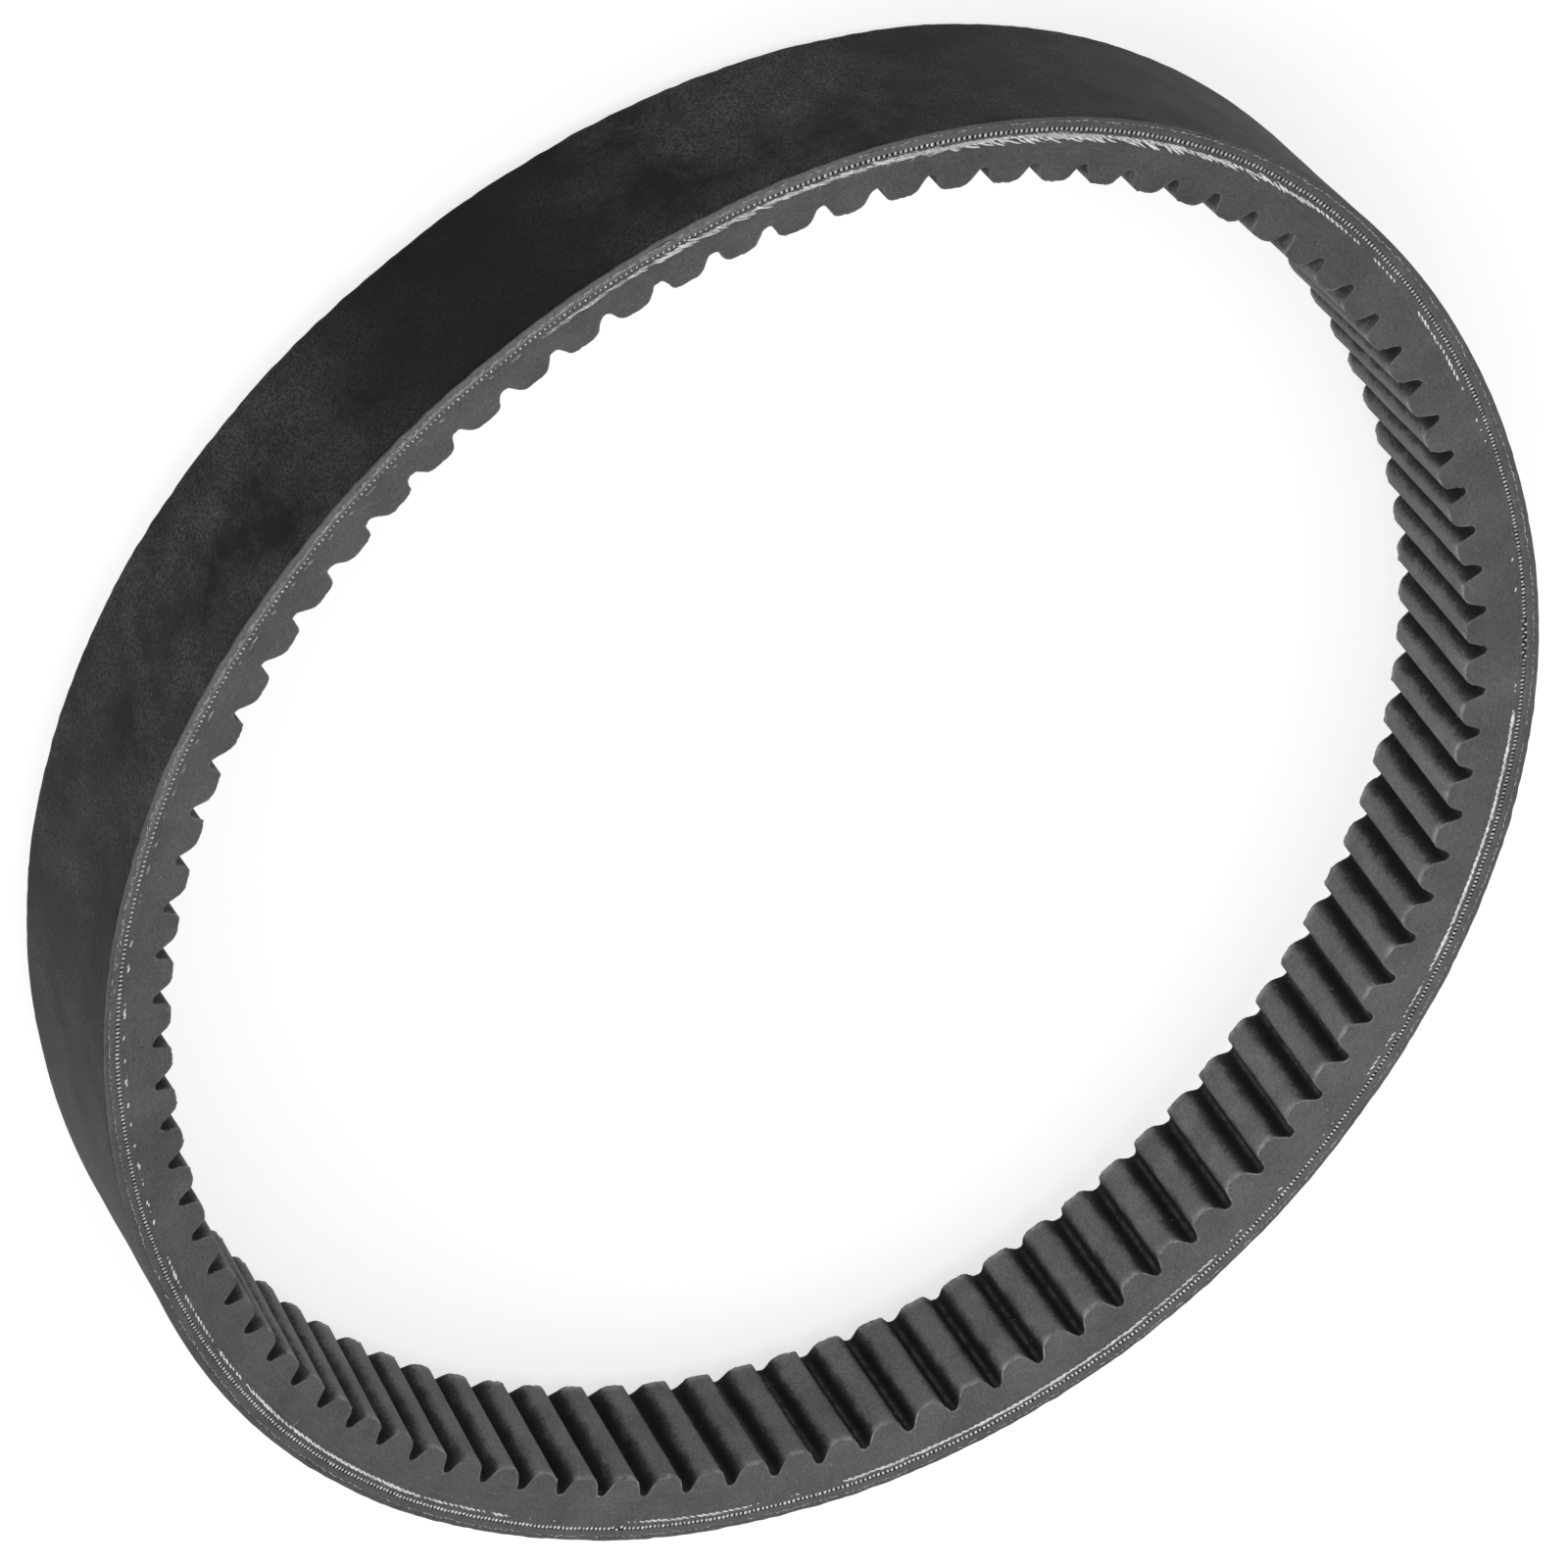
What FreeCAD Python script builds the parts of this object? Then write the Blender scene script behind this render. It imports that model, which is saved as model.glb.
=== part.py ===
import FreeCAD, Part
import bisect
import math
import os

# Cogged raw-edge V-belt for a variable-speed drive, lying relaxed on its side.
# Millimetres. +Z is the belt's own axis (the shafts' direction), +X the long way of the relaxed oval,
# and the origin is the centre of the belt's bounding box.

# Relaxed outline of the belt's back: a circle, plus slow ripples given as (order, cosine, sine).
MEAN_RADIUS = 158.3
OUTLINE_RIPPLES = ((2, 11.6, 0.0), (3, 1.15, -0.23), (4, 0.37, -0.52), (5, 0.44, 0.36))

# A free belt doesn't lie quite flat: the section rises and falls, and rolls about its own run.
RISE_RIPPLES = ((2, -1.06, 2.82), (3, -0.36, 0.18))
ROLL_MEAN_DEGREES = 0.75
ROLL_RIPPLES_DEGREES = ((1, 0.65, 0.12), (2, -0.26, 3.44))

# Section: a trapezoid, wide at the back and narrow at the cog crowns.
TOP_WIDTH = 33.0
FLANK_ANGLE = math.radians(13.0)
BELT_HEIGHT = 14.05

# Layers, as depths below the back.
BACK_COVER = (0.0, 0.95)
FABRIC_PLY = (0.95, 1.25)
OVERCORD_RUBBER = (1.25, 2.4)
UPPER_ADHESION = (3.15, 3.65)
LOWER_ADHESION = (4.55, 5.2)
COMPRESSION_RUBBER = (5.2, BELT_HEIGHT)

# Cords lie in the gaps between layers: stiffening cords across the belt, one tension cord round it.
TRANSVERSE_CORD_COUNT = 970
TRANSVERSE_CORD_DEPTH = 0.5 * (OVERCORD_RUBBER[1] + UPPER_ADHESION[0])
TRANSVERSE_CORD_RADIUS = 0.5 * (UPPER_ADHESION[0] - OVERCORD_RUBBER[1]) - 0.005
TENSION_CORD_DEPTH = 0.5 * (UPPER_ADHESION[1] + LOWER_ADHESION[0])
TENSION_CORD_RADIUS = 0.5 * (LOWER_ADHESION[0] - UPPER_ADHESION[1])
TENSION_CORD_PITCH = 1.45
TENSION_CORD_SIDES = 8

# Cogs: equal pitch along the tension cord, with round notch roots and rounded crowns.
COG_COUNT = 90
FIRST_NOTCH = 3.34
NOTCH_DEPTH_BELOW_BACK = 10.05
NOTCH_ROOT_RADIUS = 1.2
NOTCH_WALL_ANGLE = math.radians(23.0)
CROWN_RADIUS = 2.1
CROWN_OVERRUN = 0.05
TOOL_OVERRUN = 1.5

RING_STATIONS = 72
ARC_TABLE_STEPS = 3600


def ripple(angle, terms):
    """Sum of slow waves round the loop."""
    total = 0.0
    for order, cosine, sine in terms:
        total += cosine * math.cos(order * angle) + sine * math.sin(order * angle)
    return total


def ripple_slope(angle, terms):
    total = 0.0
    for order, cosine, sine in terms:
        total += order * (sine * math.cos(order * angle) - cosine * math.sin(order * angle))
    return total


def section_frame(angle):
    """Origin on the back's centre line, then the section's inward and axial unit vectors."""
    radius = MEAN_RADIUS + ripple(angle, OUTLINE_RIPPLES)
    slope = ripple_slope(angle, OUTLINE_RIPPLES)
    cosine, sine = math.cos(angle), math.sin(angle)
    run_x = slope * cosine - radius * sine
    run_y = slope * sine + radius * cosine
    run = math.hypot(run_x, run_y)
    outward = FreeCAD.Vector(run_y / run, -run_x / run, 0)
    roll = math.radians(ROLL_MEAN_DEGREES + ripple(angle, ROLL_RIPPLES_DEGREES))
    up = FreeCAD.Vector(0, 0, 1)
    origin = FreeCAD.Vector(radius * cosine, radius * sine, ripple(angle, RISE_RIPPLES))
    inward = outward * -math.cos(roll) - up * math.sin(roll)
    axial = outward * -math.sin(roll) + up * math.cos(roll)
    return origin, inward, axial


def belt_point(angle, depth, axial_offset):
    origin, inward, axial = section_frame(angle)
    return origin + inward * depth + axial * axial_offset


def half_width(depth):
    return TOP_WIDTH / 2 - depth * math.tan(FLANK_ANGLE)


def arc_table(depth):
    """Running length along the belt at one depth, against the angle round the loop."""
    lengths = [0.0]
    previous = belt_point(0.0, depth, 0.0)
    for step in range(1, ARC_TABLE_STEPS + 1):
        point = belt_point(2 * math.pi * step / ARC_TABLE_STEPS, depth, 0.0)
        lengths.append(lengths[-1] + point.distanceToPoint(previous))
        previous = point
    return lengths


def angle_at(lengths, run):
    """Angle round the loop at a running length."""
    run = run % lengths[-1]
    step = max(1, bisect.bisect_left(lengths, run))
    share = (run - lengths[step - 1]) / (lengths[step] - lengths[step - 1])
    return 2 * math.pi * (step - 1 + share) / ARC_TABLE_STEPS


def loop_edge(depth, axial_offset):
    """Closed smooth edge round the belt, through one corner of the section."""
    angles = [2 * math.pi * station / RING_STATIONS for station in range(RING_STATIONS)]
    curve = Part.BSplineCurve()
    curve.interpolate(Points=[belt_point(a, depth, axial_offset) for a in angles], PeriodicFlag=True)
    return curve.toShape()


def solid_from(faces):
    shell = Part.Shell(faces)
    shell.sewShape()
    solid = Part.Solid(shell)
    if solid.Volume < 0:
        solid.reverse()
    return solid


def layer_ring(layer):
    """One bonded layer: a ring whose section is a slice of the belt's trapezoid."""
    top, bottom = layer
    corners = ((top, half_width(top)), (top, -half_width(top)),
               (bottom, -half_width(bottom)), (bottom, half_width(bottom)))
    edges = [loop_edge(depth, offset) for depth, offset in corners]
    faces = [Part.makeRuledSurface(edges[i], edges[(i + 1) % 4]) for i in range(4)]
    return solid_from(faces)


def offset_in_section(angle, run_offset, depth, axial_offset):
    """Point in the section's own square frame, run_offset along the belt from its station."""
    origin, inward, axial = section_frame(angle)
    return origin + inward.cross(axial) * run_offset + inward * depth + axial * axial_offset


def notch_tool(angle):
    """Prism across the belt that cuts one notch and rounds the crown edge on each side of it."""
    wall_sine, wall_cosine = math.sin(NOTCH_WALL_ANGLE), math.cos(NOTCH_WALL_ANGLE)
    root_centre = NOTCH_DEPTH_BELOW_BACK + NOTCH_ROOT_RADIUS
    root_end = (NOTCH_ROOT_RADIUS * wall_cosine, root_centre - NOTCH_ROOT_RADIUS * wall_sine)
    crown_centre_depth = BELT_HEIGHT + CROWN_OVERRUN - CROWN_RADIUS
    wall_run = root_end[0] + (crown_centre_depth - root_end[1]) * math.tan(NOTCH_WALL_ANGLE)
    crown_centre_run = wall_run + CROWN_RADIUS / wall_cosine
    crown_start = (crown_centre_run - CROWN_RADIUS * wall_cosine,
                   crown_centre_depth + CROWN_RADIUS * wall_sine)
    middle = 0.5 * (math.pi / 2 + NOTCH_WALL_ANGLE)
    crown_middle = (crown_centre_run - CROWN_RADIUS * math.cos(middle),
                    crown_centre_depth + CROWN_RADIUS * math.sin(middle))
    crown_end = (crown_centre_run, crown_centre_depth + CROWN_RADIUS)
    tool_end = (crown_centre_run, BELT_HEIGHT + TOOL_OVERRUN)

    reach = TOP_WIDTH / 2 + TOOL_OVERRUN

    def corner(point, side=1):
        return offset_in_section(angle, side * point[0], point[1], -reach)

    edges = [Part.LineSegment(corner(tool_end, -1), corner(crown_end, -1)),
             Part.Arc(corner(crown_end, -1), corner(crown_middle, -1), corner(crown_start, -1)),
             Part.LineSegment(corner(crown_start, -1), corner(root_end, -1)),
             Part.Arc(corner(root_end, -1), corner((0, NOTCH_DEPTH_BELOW_BACK)), corner(root_end)),
             Part.LineSegment(corner(root_end), corner(crown_start)),
             Part.Arc(corner(crown_start), corner(crown_middle), corner(crown_end)),
             Part.LineSegment(corner(crown_end), corner(tool_end)),
             Part.LineSegment(corner(tool_end), corner(tool_end, -1))]
    profile = Part.Face(Part.Wire([edge.toShape() for edge in edges]))
    axial = section_frame(angle)[2]
    return profile.extrude(axial * (2 * reach))


def cogged_rubber(lengths):
    """The compression rubber with its row of notches."""
    pitch = lengths[-1] / COG_COUNT
    tools = [notch_tool(angle_at(lengths, FIRST_NOTCH + cog * pitch)) for cog in range(COG_COUNT)]
    return layer_ring(COMPRESSION_RUBBER).cut(tools)


def transverse_cords(lengths):
    """Stiffening cords, each a straight round solid across the belt, flush with the narrower side."""
    pitch = lengths[-1] / TRANSVERSE_CORD_COUNT
    reach = half_width(TRANSVERSE_CORD_DEPTH + TRANSVERSE_CORD_RADIUS)
    cords = []
    for number in range(TRANSVERSE_CORD_COUNT):
        angle = angle_at(lengths, number * pitch)
        start = belt_point(angle, TRANSVERSE_CORD_DEPTH, -reach)
        axial = section_frame(angle)[2]
        cords.append(Part.makeCylinder(TRANSVERSE_CORD_RADIUS, 2 * reach, start, axial))
    return Part.makeCompound(cords)


def tension_cord():
    """One cord wound as a flat helix from one flank to the other, with an eight-sided section."""
    reach = half_width(TENSION_CORD_DEPTH + TENSION_CORD_RADIUS) - TENSION_CORD_RADIUS
    turns = int(2 * reach / TENSION_CORD_PITCH)
    first_offset = -0.5 * turns * TENSION_CORD_PITCH

    def corner(turn, station, side):
        around = 2 * math.pi * (side + 0.5) / TENSION_CORD_SIDES
        travel = turn + station / RING_STATIONS
        return belt_point(2 * math.pi * travel,
                          TENSION_CORD_DEPTH + TENSION_CORD_RADIUS * math.cos(around),
                          first_offset + TENSION_CORD_PITCH * travel + TENSION_CORD_RADIUS * math.sin(around))

    faces = []
    for turn in range(turns):
        edges = []
        for side in range(TENSION_CORD_SIDES):
            curve = Part.BSplineCurve()
            curve.interpolate([corner(turn, station, side) for station in range(RING_STATIONS + 1)])
            edges.append(curve.toShape())
        for side in range(TENSION_CORD_SIDES):
            faces.append(Part.makeRuledSurface(edges[side], edges[(side + 1) % TENSION_CORD_SIDES]))
    for travel in (0, turns):
        rim = [corner(travel, 0, side) for side in range(TENSION_CORD_SIDES)]
        faces.append(Part.Face(Part.makePolygon(rim + rim[:1])))
    return solid_from(faces)


def box_centre():
    """Centre of the belt's bounding box, whose limits all lie on the back's two edges."""
    box = FreeCAD.BoundBox()
    for step in range(ARC_TABLE_STEPS):
        angle = 2 * math.pi * step / ARC_TABLE_STEPS
        box.add(belt_point(angle, 0.0, half_width(0.0)))
        box.add(belt_point(angle, 0.0, -half_width(0.0)))
    return box.Center


def write(nodes):
    """Centre the belt's bounding box on the origin and write one file per node."""
    centre = box_centre()
    os.makedirs("parts", exist_ok=True)
    for name, shape in nodes.items():
        shape.translate(-centre)
        shape.exportStep(f"parts/{name}.step")
        print(f"{name}: {len(shape.Solids)} solids, valid {shape.isValid()}, {shape.Volume:.0f} mm3")


cord_lengths = arc_table(TENSION_CORD_DEPTH)
write({
    "back_cover": layer_ring(BACK_COVER),
    "fabric_ply": layer_ring(FABRIC_PLY),
    "overcord_rubber": layer_ring(OVERCORD_RUBBER),
    "transverse_cords": transverse_cords(arc_table(TRANSVERSE_CORD_DEPTH)),
    "upper_adhesion_rubber": layer_ring(UPPER_ADHESION),
    "tension_cord": tension_cord(),
    "lower_adhesion_rubber": layer_ring(LOWER_ADHESION),
    "cogged_compression_rubber": cogged_rubber(cord_lengths),
})
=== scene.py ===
import bpy
import math
import numpy as np
from mathutils import Matrix, Vector


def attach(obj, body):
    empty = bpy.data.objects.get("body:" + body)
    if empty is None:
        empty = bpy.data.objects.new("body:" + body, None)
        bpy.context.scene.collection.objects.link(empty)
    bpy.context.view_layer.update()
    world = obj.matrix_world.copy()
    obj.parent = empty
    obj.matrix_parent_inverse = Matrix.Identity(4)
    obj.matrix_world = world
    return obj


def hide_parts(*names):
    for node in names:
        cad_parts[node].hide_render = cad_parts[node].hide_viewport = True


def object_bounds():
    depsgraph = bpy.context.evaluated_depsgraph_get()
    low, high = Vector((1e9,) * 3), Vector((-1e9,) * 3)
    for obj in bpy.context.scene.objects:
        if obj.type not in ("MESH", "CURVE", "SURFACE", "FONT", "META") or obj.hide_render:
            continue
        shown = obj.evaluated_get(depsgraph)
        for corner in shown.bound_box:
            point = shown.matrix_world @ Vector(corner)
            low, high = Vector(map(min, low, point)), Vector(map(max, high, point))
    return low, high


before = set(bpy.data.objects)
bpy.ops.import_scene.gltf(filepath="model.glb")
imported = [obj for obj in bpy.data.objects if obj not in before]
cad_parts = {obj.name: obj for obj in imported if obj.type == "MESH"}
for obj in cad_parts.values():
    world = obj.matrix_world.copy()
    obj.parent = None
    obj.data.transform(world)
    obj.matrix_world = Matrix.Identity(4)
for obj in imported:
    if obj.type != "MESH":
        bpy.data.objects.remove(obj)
cad_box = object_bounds()

# ---------------------------------------------------------------- the belt's own dimensions, in mm
MM = 0.001
MEAN_RADIUS = 158.3
OUTLINE_RIPPLES = ((2, 11.6, 0.0), (3, 1.15, -0.23), (4, 0.37, -0.52), (5, 0.44, 0.36))
RISE_RIPPLES = ((2, -1.06, 2.82), (3, -0.36, 0.18))
ROLL_MEAN_DEGREES = 0.75
ROLL_RIPPLES_DEGREES = ((1, 0.65, 0.12), (2, -0.26, 3.44))

TOP_WIDTH = 33.0
FLANK_SLOPE = math.tan(math.radians(13.0))
BELT_HEIGHT = 14.05

BACK_COVER = (0.0, 0.95)
FABRIC_PLY = (0.95, 1.25)
OVERCORD_RUBBER = (1.25, 2.4)
CORD_PLY = (2.4, 3.15)
UPPER_ADHESION = (3.15, 3.65)
CORD_BAND = (3.65, 4.55)
LOWER_ADHESION = (4.55, 5.2)
COMPRESSION_TOP = 5.2

TRANSVERSE_CORD_COUNT = 970
TENSION_CORD_DEPTH = 4.1
TENSION_CORD_RADIUS = 0.45
TENSION_CORD_PITCH = 1.45
TWIST_PITCH = 4.6
STRAND_RADIUS = 0.25

COG_COUNT = 90
FIRST_NOTCH = 3.34
NOTCH_DEPTH = 10.05
NOTCH_ROOT_RADIUS = 1.2
NOTCH_WALL = math.radians(23.0)
CROWN_RADIUS = 2.1

STATIONS = 1440
random = np.random.default_rng(90)


# ---------------------------------------------------------------- places on the belt
def ripple(angle, terms):
    """Sum of slow waves round the loop."""
    return sum(c * np.cos(n * angle) + s * np.sin(n * angle) for n, c, s in terms)


def ripple_slope(angle, terms):
    """How fast that sum changes with the angle."""
    return sum(n * (s * np.cos(n * angle) - c * np.sin(n * angle)) for n, c, s in terms)


def section_frames(angle):
    """Origin on the back's centre line, then the inward and axial unit vectors, for an array of angles."""
    radius = MEAN_RADIUS + ripple(angle, OUTLINE_RIPPLES)
    slope = ripple_slope(angle, OUTLINE_RIPPLES)
    cosine, sine = np.cos(angle), np.sin(angle)
    run_x = slope * cosine - radius * sine
    run_y = slope * sine + radius * cosine
    length = np.hypot(run_x, run_y)
    flat = np.zeros_like(angle)
    outward = np.stack([run_y / length, -run_x / length, flat], -1)
    roll = np.radians(ROLL_MEAN_DEGREES + ripple(angle, ROLL_RIPPLES_DEGREES))[..., None]
    up = np.array([0.0, 0.0, 1.0])
    origin = np.stack([radius * cosine, radius * sine, ripple(angle, RISE_RIPPLES)], -1)
    inward = -outward * np.cos(roll) - up * np.sin(roll)
    axial = -outward * np.sin(roll) + up * np.cos(roll)
    return origin, inward, axial


def raw_points(angle, depth, offset):
    """Points in mm about the loop's own centre, from the angle, the depth and the axial offset."""
    angle, depth, offset = np.broadcast_arrays(angle, depth, offset)
    origin, inward, axial = section_frames(angle)
    return origin + inward * depth[..., None] + axial * offset[..., None]


def half_width(depth):
    """Half the belt's width at one depth below the back."""
    return TOP_WIDTH / 2 - depth * FLANK_SLOPE


FINE_ANGLES = np.linspace(0, 2 * math.pi, 7201)
EDGES = np.concatenate([raw_points(FINE_ANGLES, 0.0, side * half_width(0.0)) for side in (1, -1)])
CENTRE = 0.5 * (EDGES.min(0) + EDGES.max(0))
CORD_LINE = raw_points(FINE_ANGLES, TENSION_CORD_DEPTH, 0.0)
RUNS = np.concatenate([[0.0], np.cumsum(np.linalg.norm(np.diff(CORD_LINE, axis=0), axis=1))])
LOOP = RUNS[-1]
PITCH = LOOP / COG_COUNT
REFERENCE_RUN = np.interp(math.radians(59.5), FINE_ANGLES, RUNS)


def belt_points(run, depth, offset):
    """Points in metres, from the length along the cord line, the depth and the axial offset."""
    angle = np.interp(np.mod(run, LOOP), RUNS, FINE_ANGLES)
    return (raw_points(angle, depth, offset) - CENTRE) * MM


def waviness(run, seed, shortest, longest, amplitude, count=14):
    """Smooth irregular wave that closes on itself round the loop. Wavelengths and amplitude in mm."""
    rng = np.random.default_rng(seed)
    orders = np.round(LOOP / np.exp(rng.uniform(math.log(shortest), math.log(longest), count)))
    phases = rng.uniform(0, 2 * math.pi, count)
    wave = sum(np.sin(2 * math.pi * o * run / LOOP + p) for o, p in zip(orders, phases))
    return amplitude * wave / math.sqrt(count)


def edge_wave(run, side):
    """How far the cut edge stands off its straight cone."""
    return waviness(run, 3 + side, 25, 160, 0.10) + waviness(run, 13 + side, 3, 12, 0.035)


def cogs_travelled(run):
    """Place round the loop counted in cogs from the reference cog, against the run."""
    return np.mod(REFERENCE_RUN - run, LOOP) / PITCH


def side_place(run, side):
    """The same, shifted on the far cut edge so that its wear falls elsewhere."""
    return cogs_travelled(run) if side == 1 else np.mod(cogs_travelled(run) + 37, COG_COUNT)


def stretch(run, middle, reach, fade, side=1):
    """One within reach cogs of the middle cog, fading softly to nought."""
    swell = np.clip((reach - np.abs(side_place(run, side) - middle)) / fade, 0, 1)
    return swell * swell * (3 - 2 * swell)


def cord_line_drop(run, side):
    """The ply and the cords lie deeper along two stretches of the loop and shallower along three."""
    deeper = 0.40 * stretch(run, 37, 6, 4, side) + 0.50 * stretch(run, 54.5, 8.5, 6, side)
    shallower = (stretch(run, 68.5, 7, 5, side) + stretch(run, 12, 7, 4, side)
                 + 0.7 * stretch(run, 24, 2, 2, side))
    return deeper - 0.2 * shallower


def painted_light_round_loop(run):
    """Tone of the cut faces round the loop, painted light and shade: paler and darker stretches where the
    light falls on them more or less.
    """
    return (0.6 + 0.4 * stretch(run, 11, 15, 7) + 0.2 * stretch(run, 50, 8, 5)
            - 0.5 * stretch(run, 69, 8, 7) - 0.2 * stretch(run, 36, 4, 4))


def pale_stretch(run, side):
    """Where the knife dragged, so that the gaps between the cross cords are smeared over."""
    return stretch(run, 53, 10, 3, side)


def fuzzy_stretch(run, side):
    """Where the cut left pale fibre dust over the plies nearest the back."""
    return stretch(run, 54.5, 12, 7, side)


def settle(depth, run, side):
    """Where a layer boundary of nominal depth really lies at this place on one cut edge."""
    drop = cord_line_drop(run, side)
    ply = 1.1 * drop + waviness(run, 21 + side, 12, 100, 0.05)
    cross = 0.85 * drop + waviness(run, 24 + side, 20, 160, 0.05)
    cord = drop + waviness(run, 27 + side, 12, 100, 0.06)
    return (depth + ply * np.interp(depth, (0, 0.95, 1.25, 2.4), (0, 1, 1, 0))
            + cross * np.interp(depth, (1.25, 2.4, 3.15, 3.65), (0, 1, 1, 0))
            + cord * np.interp(depth, (3.15, 3.65, 4.55, 5.2, 8.0), (0, 1, 1, 1, 0)))


# ---------------------------------------------------------------- meshes
def make_piece(name, verts, faces, uvs=None, values=None, flat=None):
    """Mesh piece that rides on the belt's one body, with optional corner UVs, values and flat faces."""
    mesh = bpy.data.meshes.new(name)
    mesh.from_pydata(np.asarray(verts).reshape(-1, 3).tolist(), [], [list(face) for face in faces])
    smooth = np.ones(len(mesh.polygons), dtype=bool)
    if flat is not None:
        smooth &= ~flat
    mesh.polygons.foreach_set("use_smooth", smooth)
    if uvs is not None:
        layer = mesh.uv_layers.new(name="belt")
        layer.data.foreach_set("uv", np.asarray(uvs, dtype=np.float32).ravel())
    for key, array in (values or {}).items():
        attribute = mesh.attributes.new(key, "FLOAT", "POINT")
        attribute.data.foreach_set("value", np.ravel(array).astype(np.float32))
    mesh.validate()
    mesh.update()
    piece = bpy.data.objects.new(name, mesh)
    bpy.context.collection.objects.link(piece)
    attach(piece, "root")
    return piece


def loop_piece(name, run, depth, offset, hidden, values=None):
    """Closed ring: stations along the first index, the section's closed outline along the second.

    The strips numbered in hidden are bonded faces inside the belt, shaded flat. A flat face spoils the
    shading of the row beside it, so every cut edge has a narrow guard row next to its hidden strip."""
    stations, sides = depth.shape
    points = belt_points(run, depth, offset)
    here = np.arange(stations)[:, None] * sides + np.arange(sides)[None, :]
    ahead = np.roll(here, -1, 0)
    quads = np.stack([here, ahead, np.roll(ahead, -1, 1), np.roll(here, -1, 1)], -1).reshape(-1, 4)
    run_next = np.roll(run, -1, 0)
    run_next[-1] += LOOP
    u = np.stack([run, run_next, np.roll(run_next, -1, 1), np.roll(run, -1, 1)], -1)
    across = offset - depth * np.sign(offset)
    a_next = np.roll(across, -1, 0)
    v = np.stack([across, a_next, np.roll(a_next, -1, 1), np.roll(across, -1, 1)], -1)
    uvs = np.stack([u, v], -1).reshape(-1, 2) * MM
    flat = np.tile(np.isin(np.arange(sides), hidden), stations)
    # Every ring carries the cut faces' painted light and shade round the loop.
    return make_piece(name, points, quads, uvs, {"tone_and_painted_light": painted_light_round_loop(run), **(values or {})}, flat)


def layer_ring(name, layer, recess=0.0, groove=0.05, fuzz=(0.0, 0.0)):
    """A bonded layer: its cut edges bulge a little between the grooves where it meets its neighbours.

    The pair in fuzz is how much fibre dust lies on its edges, and how much more on the fuzzy stretch."""
    top, bottom = layer
    # The second and fourth rows are guard rows.
    depths = top + (bottom - top) * np.array([0.0, 0.02, 0.5, 0.98, 1.0])
    lifts = np.array([-groove, -0.2 * groove, 0.0, -0.2 * groove, -groove]) - recess
    run = np.linspace(0, LOOP, STATIONS, endpoint=False)[:, None]
    near_depth, far_depth = settle(depths, run, 1), settle(depths, run, -1)
    near = half_width(near_depth) + lifts + edge_wave(run, 1)
    far = -(half_width(far_depth) + lifts + edge_wave(run, -1))
    depth = np.concatenate([near_depth, far_depth[:, ::-1]], 1)
    offset = np.concatenate([near, far[:, ::-1]], 1)
    dust = [np.tile(fuzz[0] + fuzz[1] * fuzzy_stretch(run, side), (1, 5)) for side in (1, -1)]
    values = {"fuzz": np.concatenate(dust, 1)}
    # Only the deep gap between the cross cords is filled where the knife dragged.
    if recess > 0.1:
        filled = np.concatenate([np.tile(pale_stretch(run, side), (1, 5)) for side in (1, -1)], 1)
        offset = offset + np.sign(offset) * 0.9 * recess * filled
        values["filled"] = filled
    return loop_piece(name, np.tile(run, (1, depth.shape[1])), depth, offset, (4, 9), values)


def back_cover():
    """The smooth back: corners slightly rounded by the cut, face faintly uneven."""
    run = np.linspace(0, LOOP, STATIONS, endpoint=False)[:, None]
    # The row before the last is a guard row.
    edge_depths = np.array([0.0, 0.03, 0.12, 0.30, 0.55, 0.935, BACK_COVER[1]])
    edge_lifts = np.array([-0.17, -0.08, -0.02, 0.0, 0.0, -0.005, -0.03])
    count = len(edge_depths)
    wander = waviness(run, 31, 5, 40, 0.08) + waviness(run, 33, 2.5, 9, 0.035, 24)
    # Painted shade and sheen on the back: higher values paint it darker, lower values paint it paler.
    painted_shade_and_sheen = (0.25 + 0.7 * stretch(run, 56.6, 3.9, 3.5) - 0.22 * stretch(run, 61, 3.4, 2.2)
              - 0.12 * stretch(run, 50.5, 4.5, 3))
    near_depth, far_depth = settle(edge_depths, run, 1), settle(edge_depths, run, -1)
    near = half_width(near_depth) + edge_lifts + edge_wave(run, 1) + wander
    far = -(half_width(far_depth) + edge_lifts + edge_wave(run, -1) - wander)
    shares = np.linspace(-0.95, 0.95, 25)
    face_offset = np.tile(shares * (half_width(0.0) - 0.3), (STATIONS, 1))
    unevenness = sum(np.outer(waviness(run[:, 0], 40 + k, 12, 90, 0.035), np.cos(k * math.pi * shares))
                     for k in range(4))
    face_depth = unevenness + 0.04 - 0.06 * shares**2

    depth = np.concatenate([near_depth, far_depth[:, ::-1], face_depth], 1)
    offset = np.concatenate([near, far[:, ::-1], face_offset], 1)
    cut = np.zeros_like(depth)
    cut[:, 1:2 * count - 1] = 1.0
    fuzz = np.zeros_like(depth)
    fuzz[:, 3:count] = 0.55 * fuzzy_stretch(run, 1)
    fuzz[:, count:2 * count - 3] = 0.55 * fuzzy_stretch(run, -1)
    values = {"cut_edge": cut, "fuzz": fuzz, "painted_shade_and_sheen": np.tile(painted_shade_and_sheen, (1, depth.shape[1]))}
    return loop_piece("back_cover_skin", np.tile(run, (1, depth.shape[1])), depth, offset,
                      (count - 1,), values)


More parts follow.
